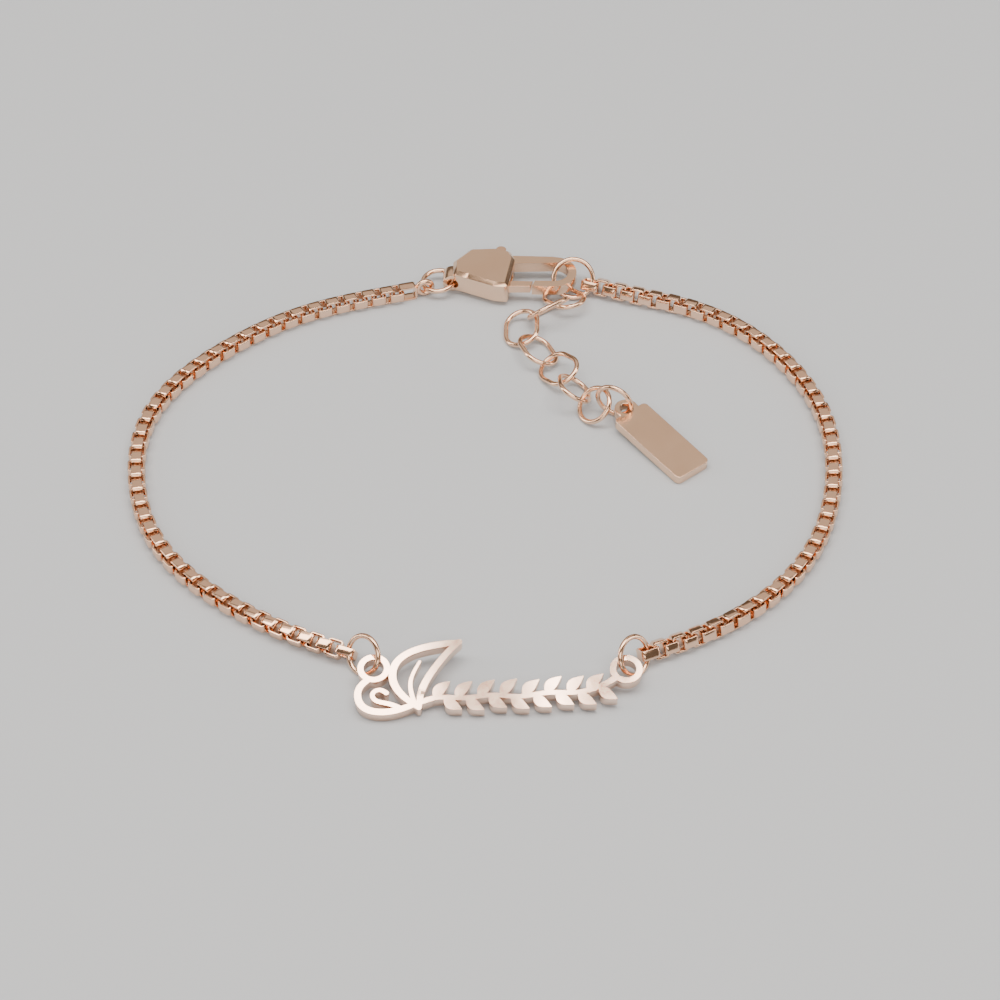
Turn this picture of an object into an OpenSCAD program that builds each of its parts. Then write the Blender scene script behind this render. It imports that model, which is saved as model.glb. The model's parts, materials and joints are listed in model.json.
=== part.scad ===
// Nameplate bracelet: two runs of box chain, a pierced leaf-scroll plate, a lobster clasp,
// an extender of loose rings and a flat tag, all lying on one surface at z = 0. Millimetres.

/* [Chain] */
// Link length along the chain
link_len = 1.3; // [1.1:0.05:1.6]
// Link height across its square side
link_high = 1.42; // [1.2:0.02:1.7]
// Width of the strip each link is bent from
strip_wide = 0.8; // [0.6:0.02:0.95]
// Thickness of that strip
strip_thick = 0.17; // [0.12:0.01:0.22]
// Outer corner radius of a link
link_corner = 0.3; // [0.2:0.02:0.4]
// Length of the longer end links that hold a jump ring
end_len = 1.6; // [1.3:0.05:1.7]
// Extra room between an end link and its neighbour
end_room = 0.04; // [0:0.01:0.08]
// Roll of the right run where it is slightly twisted, in degrees
twist_roll = 10; // [0:1:15]

/* [Nameplate] */
// Plate thickness
plate_thick = 0.9; // [0.6:0.05:1.2]
// Lean of the plate, whose back edge lies on the jump rings, in degrees
plate_lean = 9; // [0:0.5:12]
// Half width of the leaflet stem
stem_half = 0.2; // [0.16:0.01:0.35]
// Length of one leaflet
leaflet_len = 1.95; // [1.2:0.05:2.2]
// Width of one leaflet
leaflet_wide = 0.9; // [0.4:0.02:1.1]
// Outer radius of the two eyelets
eyelet_outer = 1.25; // [1.05:0.05:1.4]
// Hole radius of the two eyelets
eyelet_hole = 0.79; // [0.6:0.01:0.85]

/* [Rings] */
// Wire of the jump rings beside the plate and through the hook
jump_wire = 0.42; // [0.38:0.02:0.48]
// Wire of the extender links
fine_wire = 0.42; // [0.36:0.02:0.46]
// Centreline radius of a round jump ring
jump_radius = 1.5; // [1.4:0.05:1.7]
// End radius of an oval extender link, on its centreline
oval_radius = 1.4; // [1.3:0.05:1.55]
// Half length of an oval link's straight sides
oval_straight = 0.5; // [0:0.05:0.5]

/* [Clasp] */
// Height of the clasp body
clasp_high = 2.5; // [2:0.1:3]
// Height of the hook bar
hook_high = 1; // [0.8:0.05:1.3]
// Thickness of the sprung lever
lever_thick = 0.75; // [0.6:0.05:0.9]
// Radius of the pivot pin
pin_radius = 0.35; // [0.25:0.01:0.45]
// Running clearance of the lever on its pin
pin_clearance = 0.06; // [0.03:0.01:0.1]

/* [Tag] */
// Tag length without its lug
tag_len = 8.2; // [6:0.1:10]
// Tag width
tag_wide = 3.4; // [2.5:0.1:4.5]
// Tag thickness
tag_thick = 0.8; // [0.5:0.05:1]

/* [Hidden] */
round_steps = 24;
corner_steps = 4;
cap_steps = 8;
pairs = [0, 90];
chain_centre_z = link_high / 2;
end_strip_wide = 0.62;

// Route of each chain run, seen from above: columns x, y. The curve is a cubic B-spline.
left_route = [
    [-10.7, -20.1], [-15.1, -18.3], [-19.9, -15.3], [-24.3, -11.6], [-27.4, -6.8], [-28.7, -1.1],
    [-28.7, 4.7], [-26.5, 9.9], [-21.8, 14.8], [-15.6, 19.2], [-6.9, 21.5]
];
right_route = [
    [12.6, -20.1], [17.9, -17.9], [23.0, -14.0], [26.7, -8.8], [28.5, -2.3], [28.7, 4.6],
    [26.7, 10.8], [23.1, 15.8], [18.8, 19.1], [13.9, 20.6], [9.05, 22.25]
];
left_links = 77;
right_links = 75;
// Roll along a run: columns distance from its front end, degrees.
left_roll = [[0, -28], [1, -26], [10, 0], [70, 0]];
right_roll = [
    [0, -34], [1, -31.5], [12, 0], [22, 0], [28, -twist_roll], [34, 0], [49, 0], [59, 27], [60.2, 29.5]
];

// Shared curves

function spline_point(a, b, c, d, t) =
    (pow(1 - t, 3) * a + (3 * pow(t, 3) - 6 * t * t + 4) * b
    + (-3 * pow(t, 3) + 3 * t * t + 3 * t + 1) * c + pow(t, 3) * d) / 6;

function with_ends(p) = concat([2 * p[0] - p[1]], p, [2 * p[len(p) - 1] - p[len(p) - 2]]);

function spline(p, steps) =
    let (q = with_ends(p))
    concat(
        [for (i = [1:len(q) - 3]) for (j = [0:steps - 1])
            spline_point(q[i - 1], q[i], q[i + 1], q[i + 2], j / steps)],
        [p[len(p) - 1]]
    );

function distances(p) =
    [for (i = 0, s = 0; i < len(p); s = s + (i < len(p) - 1 ? norm(p[i + 1] - p[i]) : 0), i = i + 1) s];

function column(p, s, k) = [for (i = [0:len(p) - 1]) [s[i], p[i][k]]];

// Outline of a polygon with rounded corners: columns x, y, corner radius.
function rounded_outline(p) =
    [for (i = [0:len(p) - 1])
        let (
            here = [p[i][0], p[i][1]],
            before = [p[(i + len(p) - 1) % len(p)][0], p[(i + len(p) - 1) % len(p)][1]],
            after = [p[(i + 1) % len(p)][0], p[(i + 1) % len(p)][1]],
            u = (before - here) / norm(before - here),
            v = (after - here) / norm(after - here),
            half = acos(u * v) / 2,
            reach = p[i][2] / tan(half),
            middle = here + (u + v) / norm(u + v) * p[i][2] / sin(half),
            start = here + u * reach - middle,
            end = here + v * reach - middle
        )
        for (j = [0:corner_steps])
            let (blend = start * (1 - j / corner_steps) + end * j / corner_steps)
            middle + blend / norm(blend) * p[i][2]
    ];

function around(disc, a) = [disc[0] + disc[2] * cos(a), disc[1] + disc[2] * sin(a)];

// Brush stroke with round ends through points: columns x, y, half width.
module stroke(p, steps = 6) {
    curve = spline(p, steps);
    last = len(curve) - 1;
    ways = [for (i = [0:last])
        let (ahead = curve[min(i + 1, last)], behind = curve[max(i - 1, 0)])
        atan2(ahead[1] - behind[1], ahead[0] - behind[0])
    ];
    polygon(concat(
        [for (i = [0:last]) around(curve[i], ways[i] + 90)],
        [for (j = [1:cap_steps - 1]) around(curve[last], ways[last] + 90 - 180 * j / cap_steps)],
        [for (i = [last:-1:0]) around(curve[i], ways[i] - 90)],
        [for (j = [1:cap_steps - 1]) around(curve[0], ways[0] - 90 - 180 * j / cap_steps)]
    ));
}

// Chain

module rounded_square(x, y, r) {
    square([x - 2 * r, y], center = true);
    square([x, y - 2 * r], center = true);
    for (i = [-1, 1]) for (j = [-1, 1])
        translate([i * (x / 2 - r), j * (y / 2 - r)]) circle(r = r, $fn = round_steps);
}

module box_link(length = link_len, wide = strip_wide) {
    inner_corner = link_corner - strip_thick;
    rotate([90, 0, 0]) linear_extrude(wide, center = true) difference() {
        rounded_square(length, link_high, link_corner);
        rounded_square(length - 2 * strip_thick, link_high - 2 * strip_thick, inner_corner);
    }
}

// Places the child at link number i of a run of the given count.
module at_link(route, count, roll, i) {
    points = spline(route, 16);
    marks = distances(points);
    total = marks[len(marks) - 1];
    x_of = column(points, marks, 0);
    y_of = column(points, marks, 1);
    end_gap = end_room + (end_len - link_len) / 2;
    pitch = (total - 2 * end_gap) / (count - 1);
    s = i == 0 ? 0 : i == count - 1 ? total : end_gap + i * pitch;
    near = max(s - pitch / 2, 0);
    far = min(s + pitch / 2, total);
    turn = atan2(lookup(far, y_of) - lookup(near, y_of), lookup(far, x_of) - lookup(near, x_of));
    lean = lookup(s, roll);
    lift = (strip_wide / 2) * abs(sin(lean)) - chain_centre_z * (1 - cos(lean));
    translate([lookup(s, x_of), lookup(s, y_of), chain_centre_z + max(lift, 0)])
        rotate([0, 0, turn]) rotate([lean, 0, 0]) children();
}

module chain_left() {
    color("#c99a80") {
        at_link(left_route, left_links, left_roll, 0) box_link(end_len, end_strip_wide);
        for (i = [1:left_links - 2])
            at_link(left_route, left_links, left_roll, i) rotate([pairs[i % 2], 0, 0]) box_link();
    }
}

module chain_right() {
    color("#c99a80") {
        for (i = [0, right_links - 1])
            at_link(right_route, right_links, right_roll, i) rotate([pairs[1], 0, 0]) box_link(end_len);
        for (i = [1:right_links - 2])
            at_link(right_route, right_links, right_roll, i) rotate([pairs[(i + 1) % 2], 0, 0]) box_link();
    }
}

// Rings

module round_ring(radius, wire) {
    rotate_extrude($fn = 48) translate([radius, 0]) circle(r = wire / 2, $fn = round_steps);
}

module oval_link() {
    for (side = [0, 180]) rotate([0, 0, side]) {
        translate([oval_straight, 0, 0]) rotate([0, 0, -90])
            rotate_extrude(angle = 180, $fn = 48) translate([oval_radius, 0])
                circle(r = fine_wire / 2, $fn = round_steps);
        translate([-oval_straight, oval_radius, 0]) rotate([0, 90, 0])
            cylinder(h = 2 * oval_straight, r = fine_wire / 2, $fn = round_steps);
    }
}

// Placement of a ring: turn about z, then its pitch, then its roll about its own length.
module posed(place, turn, pitch, roll) {
    translate(place) rotate([0, 0, turn]) rotate([0, -pitch, 0]) rotate([roll, 0, 0]) children();
}

// Clasp, drawn around its pivot with the tail towards -x

clasp_place = [0.7, 22.25, 0];
hook_z = 0.88;
lever_z = 1;
lever_room = 0.1;
bow_radius = 1.55;
bow_half = 0.35;
tail_x = -3.65;
tail_y = 0.45;
tail_wide = 1.3;
tail_z = 1.2;
body_outline = [
    [-3.6, -0.25, 0.3], [-2.85, -0.5, 0.8], [-0.15, -1.68, 1.2], [1.1, -1.85, 0.35], [1.75, 1.7, 0.9],
    [1.35, 2.75, 0.45], [0.0, 3.15, 0.8], [-2.1, 3.05, 0.9], [-3.6, 1.4, 0.4]
];
bevel_under = 0.5;
bevel_top = 0.3;
lever_slot = [
    [-1, -0.9], [-0.3, -1.32], [2.2, -1.32], [2.2, 0.8], [1.15, 1], [1.1, 1.6], [1.25, 4.3], [-2, 4.3],
    [-1.1, 0.5]
];
gate_outline = [[-0.6, -0.55], [0.1, -1.2], [3.05, -1.2], [3.3, -0.55], [0.9, -0.45], [0.5, 0.6]];
tab_outline = [[-0.8, 0.2], [0.7, 0.2], [0.9, 3.5], [0.2, 3.7]];
hook_root = [[1.1, 1.6], [5.2, 1.7], [5.2, 2.5], [1.1, 2.65]];
hook_tip = [[3.2, -1.3], [5.2, -1.35], [5.2, -0.65], [3.48, -0.6]];

// Bevel along every straight edge of the body at one height.
module body_bevels(z, size) {
    count = len(body_outline);
    for (i = [0:count - 1]) {
        from = [body_outline[i][0], body_outline[i][1]];
        to = [body_outline[(i + 1) % count][0], body_outline[(i + 1) % count][1]];
        middle = (from + to) / 2;
        translate([middle[0], middle[1], z]) rotate([0, 0, atan2(to[1] - from[1], to[0] - from[0])])
            rotate([45, 0, 0]) cube([norm(to - from) + 1, size * sqrt(2), size * sqrt(2)], center = true);
    }
}

module clasp_shell() {
    difference() {
        linear_extrude(clasp_high) polygon(rounded_outline(body_outline));
        body_bevels(0, bevel_under);
        body_bevels(clasp_high, bevel_top);
    }
}

module tail_eye() {
    translate([tail_x, tail_y, tail_z]) rotate([90, 0, 0])
        cylinder(h = tail_wide, r = 0.85, center = true, $fn = round_steps);
}

module hook() {
    translate([0, 0, hook_z]) linear_extrude(hook_high) {
        polygon(hook_root);
        polygon(hook_tip);
        translate([5.2, 0.55]) difference() {
            circle(r = bow_radius + bow_half, $fn = 48);
            circle(r = bow_radius - bow_half, $fn = 48);
            translate([-3, -3]) square([3, 6]);
        }
    }
}

module clasp_body() {
    color("#c79c84") translate(clasp_place) {
        difference() {
            union() {
                clasp_shell();
                tail_eye();
            }
            translate([0, 0, lever_z - lever_room]) linear_extrude(lever_thick + 2 * lever_room)
                polygon(lever_slot);
            translate([tail_x, 3, tail_z]) rotate([90, 0, 0]) cylinder(h = 6, r = 0.5, $fn = round_steps);
        }
        hook();
        translate([0, 0, 0.3]) cylinder(h = clasp_high - 0.6, r = pin_radius, $fn = round_steps);
    }
}

module clasp_lever() {
    color("#d8ad94") translate(clasp_place + [0, 0, lever_z]) linear_extrude(lever_thick) difference() {
        union() {
            circle(r = 0.85, $fn = round_steps);
            polygon(gate_outline);
            polygon(tab_outline);
            translate([0.55, 3.6]) circle(r = 0.45, $fn = round_steps);
        }
        circle(r = pin_radius + pin_clearance, $fn = round_steps);
    }
}

// Nameplate, drawn flat with its front edge at y = 0

eyelets = [[-8.5, 4.1], [10.8, 4.05]];
plate_front = [0, -26.25, 0.04];
// Strokes of the leaf scroll: columns x, y, half width.
leaf_back = [
    [-2.0, 6.5, 0.2], [-3.3, 6.3, 0.3], [-5.3, 5.9, 0.27], [-7.0, 4.8, 0.27], [-7.2, 2.9, 0.3],
    [-6.2, 1.5, 0.26], [-5.0, 0.6, 0.2]
];
leaf_front = [[-2.0, 6.5, 0.24], [-2.9, 5.6, 0.24], [-4.1, 3.8, 0.26], [-4.9, 2.2, 0.28], [-5.0, 0.6, 0.2]];
leaf_vein = [[-5.4, 1.2, 0.18], [-5.9, 2.9, 0.15], [-5.0, 4.7, 0.11]];
scroll_outer = [
    [-8.9, 3.1, 0.25], [-9.8, 2.3, 0.25], [-9.6, 0.7, 0.28], [-8.3, 0.1, 0.28], [-6.6, 0.3, 0.26],
    [-5.2, 1.0, 0.22], [-4.0, 1.4, 0.2]
];
scroll_inner = [
    [-6.5, 0.6, 0.2], [-7.3, 1.0, 0.19], [-8.4, 1.1, 0.18], [-8.7, 1.9, 0.17], [-8.0, 2.3, 0.17],
    [-7.5, 1.9, 0.2]
];
stem = [
    [-5.1, 1.0, 0.2], [-3.6, 1.7, stem_half], [-1.6, 1.3, stem_half], [0.6, 1.9, stem_half],
    [2.6, 1.4, stem_half], [4.8, 2.1, stem_half], [6.8, 1.8, stem_half], [8.8, 2.4, stem_half],
    [10.0, 3.3, 0.25]
];
upper_leaflets = [-3.9, -2.2, -0.5, 1.2, 2.9, 4.6, 6.3, 7.8];
lower_leaflets = [-3.1, -1.4, 0.3, 2.0, 3.7, 5.4, 7.1, 8.7];

// Leaf with its base at the origin, fullest before the middle and bent a little.
module leaflet(length, wide, bend) {
    steps = 10;
    half = [for (i = [0:steps]) wide / 2 * sin(180 * pow(i / steps, 0.8))];
    spine = [for (i = [0:steps]) [length * i / steps, bend * sin(180 * i / steps)]];
    polygon(concat(
        [for (i = [0:steps]) spine[i] + [0, half[i]]],
        [for (i = [steps - 1:-1:1]) spine[i] - [0, half[i]]]
    ));
}

module leaflets() {
    heights = [for (p = spline(stem, 6)) [p[0], p[1]]];
    for (x = upper_leaflets)
        translate([x, lookup(x, heights)]) rotate(50) leaflet(leaflet_len, leaflet_wide, 0.15);
    for (x = lower_leaflets)
        translate([x, lookup(x, heights)]) rotate(-38) leaflet(leaflet_len * 0.9, leaflet_wide, -0.15);
}

module nameplate() {
    color("#e3bda8") translate(plate_front) rotate([plate_lean, 0, 0]) difference() {
        union() {
            for (s = [leaf_back, leaf_front, leaf_vein, scroll_outer, scroll_inner, stem])
                linear_extrude(plate_thick) stroke(s);
            linear_extrude(plate_thick) leaflets();
            for (p = eyelets) translate(p) cylinder(h = plate_thick, r = eyelet_outer, $fn = 48);
        }
        for (p = eyelets) translate(p)
            cylinder(h = 3 * plate_thick, r = eyelet_hole, center = true, $fn = 48);
    }
}

// Jump rings, end ring and extender

// Poses: columns place, turn, pitch, roll.
left_pose = [[-9.34, -20.94, 1.50], -49.2, -4.5, 58.7];
right_pose = [[11.45, -21.04, 1.51], 55.7, 7.1, 58.9];
clasp_ring_pose = [[-4.22, 22.68, 0.91], 0, 4.9, 0];
hook_pose = [[7.53, 22.62, 1.25], 30.4, 18.6, 33.2];
clasp_ring_radius = 1.35;
hook_ring_radius = 1.7;
end_ring_radius = 0.62;
end_ring_wire = 0.5;
end_ring_sink = 0.1;
link_poses = [
    [[6.70, 20.66, 0.76], -48.5, 15.0, -4.5], [[5.31, 18.73, 1.32], -143.7, 1.0, -128.9],
    [[3.00, 16.85, 0.72], -90.5, -5.1, 18.4], [[4.39, 14.05, 0.75], -64.4, 0.1, -22.1],
    [[6.11, 11.39, 1.08], -52.2, 17.2, 25.6], [[7.38, 8.86, 1.21], -90.3, 20.0, 149.6]
];
extender_pose = [[9.02, 6.90, 1.21], -21.8, 29.6, 30.5];
tag_ring_pose = [[10.66, 6.85, 1.72], -24.1, -27.3, 92.4];

module at_pose(p) {
    posed(p[0], p[1], p[2], p[3]) children();
}

module jump_ring_left() {
    color("#c7937a") at_pose(left_pose) round_ring(jump_radius, jump_wire);
}

module jump_ring_right() {
    color("#c7937a") at_pose(right_pose) round_ring(jump_radius, jump_wire);
}

module end_ring_left() {
    outer = end_ring_radius + end_ring_wire / 2;
    color("#cfa289") at_link(left_route, left_links, left_roll, left_links - 1) {
        box_link(end_len);
        translate([end_len / 2 + outer - end_ring_sink, 0, outer - chain_centre_z]) rotate([90, 0, 0])
            round_ring(end_ring_radius, end_ring_wire);
    }
}

module clasp_ring() {
    color("#c7937a") at_pose(clasp_ring_pose) round_ring(clasp_ring_radius, fine_wire);
}

module hook_ring() {
    color("#c7937a") at_pose(hook_pose) round_ring(hook_ring_radius, jump_wire);
}

module extender_link(i) {
    color("#d3a58c") at_pose(link_poses[i]) oval_link();
}

module extender_ring() {
    color("#d3a58c") at_pose(extender_pose) round_ring(jump_radius, fine_wire);
}

module tag_ring() {
    color("#d3a58c") at_pose(tag_ring_pose) round_ring(jump_radius, fine_wire);
}

// Tag, drawn with the middle of its far edge at the origin and its lug towards -x

tag_place = [17.0, -0.25, 0.02];
tag_turn = -51.2;
tag_tip = 3.5;
tag_corner = 0.4;
lug_radius = 1.02;
lug_hole = 0.56;
lug_reach = 0.35;

module tag() {
    y = tag_wide / 2;
    outline = rounded_outline([
        [-tag_len, -y, tag_corner], [0, -y, tag_corner], [0, y, tag_corner], [-tag_len, y, tag_corner]
    ]);
    color("#cda48f") translate(tag_place) rotate([0, 0, tag_turn]) rotate([0, tag_tip, 0])
        linear_extrude(tag_thick) difference() {
            union() {
                polygon(outline);
                translate([-tag_len - lug_reach, 0]) circle(r = lug_radius, $fn = 48);
            }
            translate([-tag_len - lug_reach, 0]) circle(r = lug_hole, $fn = round_steps);
        }
}

nameplate();
jump_ring_left();
jump_ring_right();
chain_left();
chain_right();
end_ring_left();
clasp_ring();
clasp_body();
clasp_lever();
hook_ring();
extender_link(0);  // extender_link_1
extender_link(1);  // extender_link_2
extender_link(2);  // extender_link_3
extender_link(3);  // extender_link_4
extender_link(4);  // extender_link_5
extender_link(5);  // extender_link_6
extender_ring();
tag_ring();
tag();
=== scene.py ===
"""Chain bracelet on a pale floor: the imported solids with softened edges, in rose gold finishes."""

import json
import math

import bmesh
import bpy
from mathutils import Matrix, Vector


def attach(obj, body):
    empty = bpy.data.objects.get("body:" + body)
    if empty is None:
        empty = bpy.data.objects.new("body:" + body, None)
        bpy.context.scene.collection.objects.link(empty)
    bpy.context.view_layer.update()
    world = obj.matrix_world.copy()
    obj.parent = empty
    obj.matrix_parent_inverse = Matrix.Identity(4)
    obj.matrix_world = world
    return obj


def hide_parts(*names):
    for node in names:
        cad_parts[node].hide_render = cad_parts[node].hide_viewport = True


MM = 0.001

# Camera: its aim on the floor, its distance and its height above the horizon
AIM = Vector((1.15, -2.95, 0)) * MM
CAMERA_DISTANCE = 243.9 * MM
CAMERA_ELEVATION = math.radians(46)
SENSOR_WIDTH = 36
CAMERA_LENS = 108
CAMERA_CLIP = 10 * MM

# Softened edges: steps and roundness across them, and the least fold that counts as an edge
EDGE_STEPS = 2
EDGE_PROFILE = 0.5
EDGE_FOLD = math.radians(35)

# Least fold that is shaded sharp, most that counts as flat, and the reach in millimetres of a weld
SHARP_FOLD = math.radians(40)
FLAT_FOLD = math.radians(0.6)
WELD_MM = 0.0004

# Material slot and edge radius in millimetres of each node; the others are round wire
LOOKS = {
    "nameplate": ("plate", 0.06),
    "chain_left": ("chain", 0.035),
    "chain_right": ("chain", 0.035),
    "end_ring_left": ("chain", 0.035),
    "clasp_body": ("satin", 0.16),
    "clasp_lever": ("wire", 0.1),
    "tag": ("satin", 0.07),
}
WIRE_LOOK = ("wire", 0)

# Finishes: light and dark tone, least and most roughness, cloud size and bump depth in millimetres
FINISHES = {
    "plate": ((0.98, 0.74, 0.61), (0.92, 0.66, 0.52), (0.06, 0.10), 2.4, 0.0002),
    "chain": ((0.95, 0.64, 0.46), (0.92, 0.60, 0.42), (0.10, 0.15), 1.4, 0.0003),
    "wire": ((0.94, 0.64, 0.46), (0.91, 0.60, 0.42), (0.14, 0.20), 1.2, 0.0003),
    "satin": ((0.92, 0.65, 0.47), (0.89, 0.61, 0.43), (0.17, 0.22), 3.0, 0.0002),
    # Edges of the satin pieces: the lower roughness is a real polish, the lighter tone is a painted highlight
    "polished_edge_painted_highlight": ((0.97, 0.71, 0.56), (0.94, 0.67, 0.52), (0.05, 0.08), 1.2, 0.0001),
}
# Finish of the softened edges, where it isn't that of the faces: on satin pieces a smoother polish and a
# lighter tone, the lighter tone being a painted highlight along the edges
EDGE_POLISH_AND_PAINTED_HIGHLIGHT = {"satin": "polished_edge_painted_highlight"}

# Bands of the noise that tone and gloss spread over, and size of smears and marks beside the clouds
TONE_BAND = (0.35, 0.65)
GLOSS_BAND = (0.3, 0.7)
CLOUD_DETAIL = 3
SMEAR_SHARE = 1 / 2
MARK_SHARE = 1 / 8
FINE_DETAIL = 4
MARK_STRENGTH = 0.6

# Floor: its side in metres, its tone, the share that the tone varies by and the patches in millimetres
FLOOR_SIZE = 1.6
FLOOR_TONE = (0.515, 0.58, 0.665)
FLOOR_MOTTLE = 0.015
FLOOR_PATCH = 60
FLOOR_DETAIL = 2
FLOOR_ROUGHNESS = 0.6

# Even surroundings, and the tone of every light
ROOM_TONE = (0.60, 0.51, 0.42)
ROOM_STRENGTH = 0.25
LIGHT_TONE = (1.0, 0.88, 0.76)

# Soft lights: name, place, size across and along in metres, power in watts
LIGHTS = (
    ("overhead", (0.0, 0.01, 0.42), 0.60, 0.18, 2.4),
    ("bright_strip", (0.0, 0.15, 0.42), 0.50, 0.08, 0.14),
    ("glint_left", (-0.026, 0.15, 0.415), 0.022, 0.08, 0.06),
    ("glint_middle", (0.014, 0.15, 0.415), 0.008, 0.08, 0.025),
    ("glint_right", (0.039, 0.15, 0.415), 0.012, 0.08, 0.035),
    ("back_card", (0.0, 0.46, 0.46), 1.10, 0.34, 0.68),
    ("left_side", (-0.55, 0.05, 0.20), 0.12, 0.50, 1.3),
    ("right_side", (0.55, 0.0, 0.20), 0.12, 0.50, 1.0),
    ("front_low", (0.0, -0.60, 0.16), 0.60, 0.10, 0.6),
    ("front_high", (0.0, -0.42, 0.40), 0.70, 0.20, 1.6),
)


def noise(tree, place, scale_mm, detail):
    """Noise texture whose features measure about scale_mm on the surface."""
    texture = tree.nodes.new("ShaderNodeTexNoise")
    texture.inputs["Scale"].default_value = 1 / (scale_mm * MM)
    texture.inputs["Detail"].default_value = detail
    tree.links.new(place.outputs["Object"], texture.inputs["Vector"])
    return texture


def finish_material(name, light, dark, rough, cloud, relief):
    """Plated metal: slow changes of tone and gloss, and fine polishing marks."""
    material = bpy.data.materials.new(name)
    material.use_nodes = True
    tree = material.node_tree
    shader = tree.nodes["Principled BSDF"]
    shader.inputs["Metallic"].default_value = 1.0
    place = tree.nodes.new("ShaderNodeTexCoord")

    clouds = noise(tree, place, cloud, CLOUD_DETAIL)
    tones = tree.nodes.new("ShaderNodeValToRGB")
    for stop, position, tone in zip(tones.color_ramp.elements, TONE_BAND, (dark, light)):
        stop.position = position
        stop.color = (*tone, 1)
    tree.links.new(clouds.outputs["Fac"], tones.inputs["Fac"])
    tree.links.new(tones.outputs["Color"], shader.inputs["Base Color"])

    smears = noise(tree, place, cloud * SMEAR_SHARE, FINE_DETAIL)
    gloss = tree.nodes.new("ShaderNodeMapRange")
    gloss.inputs["From Min"].default_value = GLOSS_BAND[0]
    gloss.inputs["From Max"].default_value = GLOSS_BAND[1]
    gloss.inputs["To Min"].default_value = rough[0]
    gloss.inputs["To Max"].default_value = rough[1]
    tree.links.new(smears.outputs["Fac"], gloss.inputs["Value"])
    tree.links.new(gloss.outputs["Result"], shader.inputs["Roughness"])

    marks = noise(tree, place, cloud * MARK_SHARE, FINE_DETAIL)
    bump = tree.nodes.new("ShaderNodeBump")
    bump.inputs["Strength"].default_value = MARK_STRENGTH
    bump.inputs["Distance"].default_value = relief * MM
    tree.links.new(marks.outputs["Fac"], bump.inputs["Height"])
    tree.links.new(bump.outputs["Normal"], shader.inputs["Normal"])
    return material


def softened(source, name, edge_mm):
    """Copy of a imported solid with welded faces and, where edge_mm isn't 0, rounded edges."""
    form = bmesh.new()
    form.from_mesh(source.data)
    bmesh.ops.scale(form, vec=(1 / MM,) * 3, verts=form.verts)
    bmesh.ops.remove_doubles(form, verts=form.verts, dist=WELD_MM)
    if edge_mm:
        bmesh.ops.dissolve_limit(form, angle_limit=FLAT_FOLD, verts=form.verts, edges=form.edges)
        edges = [e for e in form.edges if len(e.link_faces) == 2 and e.calc_face_angle() > EDGE_FOLD]
        # The rounded edges take the second material, which on satin pieces carries a painted highlight
        bmesh.ops.bevel(
            form, geom=edges, offset=edge_mm, offset_type="OFFSET", segments=EDGE_STEPS, profile=EDGE_PROFILE,
            affect="EDGES", clamp_overlap=True, material=1,
        )
    for face in form.faces:
        face.smooth = True
    bmesh.ops.scale(form, vec=(MM,) * 3, verts=form.verts)
    mesh = bpy.data.meshes.new(name)
    form.to_mesh(mesh)
    form.free()
    mesh.set_sharp_from_angle(angle=SHARP_FOLD)
    piece = bpy.data.objects.new(name, mesh)
    bpy.context.scene.collection.objects.link(piece)
    if edge_mm:
        normals = piece.modifiers.new("flat_faces", "WEIGHTED_NORMAL")
        normals.keep_sharp = True
    return piece


def dress_nodes(frame, finishes):
    """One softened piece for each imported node, on the same body."""
    bodies = frame["record"]["behaviour"]["bodies"]
    for body, names in bodies.items():
        for node in names:
            slot, edge_mm = LOOKS.get(node, WIRE_LOOK)
            piece = softened(frame["nodes"][node], node + "_metal", edge_mm)
            piece.data.materials.append(finishes[slot])
            # Second material, for the rounded edges: on satin pieces its lighter tone is a painted highlight
            piece.data.materials.append(finishes[EDGE_POLISH_AND_PAINTED_HIGHLIGHT.get(slot, slot)])
            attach(piece, body)
            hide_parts(node)


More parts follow.
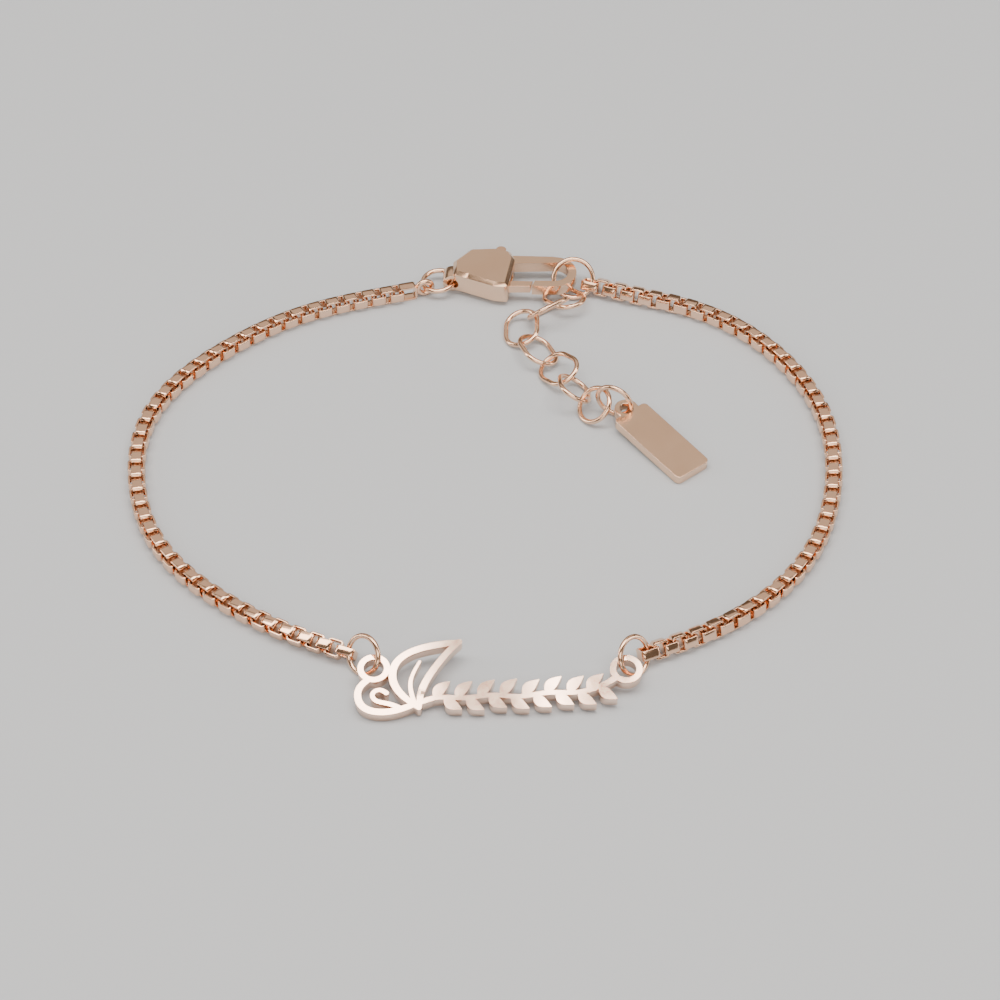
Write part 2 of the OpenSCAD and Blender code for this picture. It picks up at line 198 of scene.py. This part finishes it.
def make_floor():
    """Pale floor with a faint mottling."""
    bpy.ops.mesh.primitive_plane_add(size=FLOOR_SIZE, location=AIM)
    floor = bpy.context.object
    floor.name = "floor"
    material = bpy.data.materials.new("floor_paper")
    material.use_nodes = True
    tree = material.node_tree
    shader = tree.nodes["Principled BSDF"]
    shader.inputs["Roughness"].default_value = FLOOR_ROUGHNESS
    place = tree.nodes.new("ShaderNodeTexCoord")
    tones = tree.nodes.new("ShaderNodeValToRGB")
    for stop, share in zip(tones.color_ramp.elements, (1 - FLOOR_MOTTLE, 1 + FLOOR_MOTTLE)):
        stop.color = (*(tone * share for tone in FLOOR_TONE), 1)
    clouds = noise(tree, place, FLOOR_PATCH, FLOOR_DETAIL)
    tree.links.new(clouds.outputs["Fac"], tones.inputs["Fac"])
    tree.links.new(tones.outputs["Color"], shader.inputs["Base Color"])
    floor.data.materials.append(material)


def make_room():
    """Even, warm surroundings."""
    world = bpy.context.scene.world or bpy.data.worlds.new("room")
    bpy.context.scene.world = world
    world.use_nodes = True
    background = world.node_tree.nodes["Background"]
    background.inputs["Color"].default_value = (*ROOM_TONE, 1)
    background.inputs["Strength"].default_value = ROOM_STRENGTH


def make_lights():
    """Soft lights round the bracelet, all turned to its middle."""
    for name, place, across, along, power in LIGHTS:
        data = bpy.data.lights.new(name, "AREA")
        data.shape = "RECTANGLE"
        data.size = across
        data.size_y = along
        data.energy = power
        data.color = LIGHT_TONE
        light = bpy.data.objects.new(name, data)
        light.location = place
        light.rotation_euler = (-Vector(place)).to_track_quat("-Z", "Y").to_euler()
        bpy.context.scene.collection.objects.link(light)


def make_camera():
    """Camera in front of the bracelet, looking down at its middle."""
    data = bpy.data.cameras.new("camera")
    data.sensor_width = SENSOR_WIDTH
    data.lens = CAMERA_LENS
    data.clip_start = CAMERA_CLIP
    camera = bpy.data.objects.new("camera", data)
    away = Vector((0, -math.cos(CAMERA_ELEVATION), math.sin(CAMERA_ELEVATION)))
    camera.location = AIM + away * CAMERA_DISTANCE
    camera.rotation_euler = (-away).to_track_quat("-Z", "Y").to_euler()
    bpy.context.scene.collection.objects.link(camera)
    bpy.context.scene.camera = camera


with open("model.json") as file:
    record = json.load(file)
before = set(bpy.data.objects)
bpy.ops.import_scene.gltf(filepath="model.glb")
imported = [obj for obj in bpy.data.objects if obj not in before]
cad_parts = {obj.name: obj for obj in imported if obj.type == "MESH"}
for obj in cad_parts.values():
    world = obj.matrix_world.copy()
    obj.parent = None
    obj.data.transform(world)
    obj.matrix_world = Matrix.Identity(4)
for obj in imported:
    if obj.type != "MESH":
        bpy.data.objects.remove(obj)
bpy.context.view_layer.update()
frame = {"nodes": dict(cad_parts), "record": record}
finishes = {name: finish_material(name, *values) for name, values in FINISHES.items()}
make_camera()
dress_nodes(frame, finishes)
make_floor()
make_room()
make_lights()
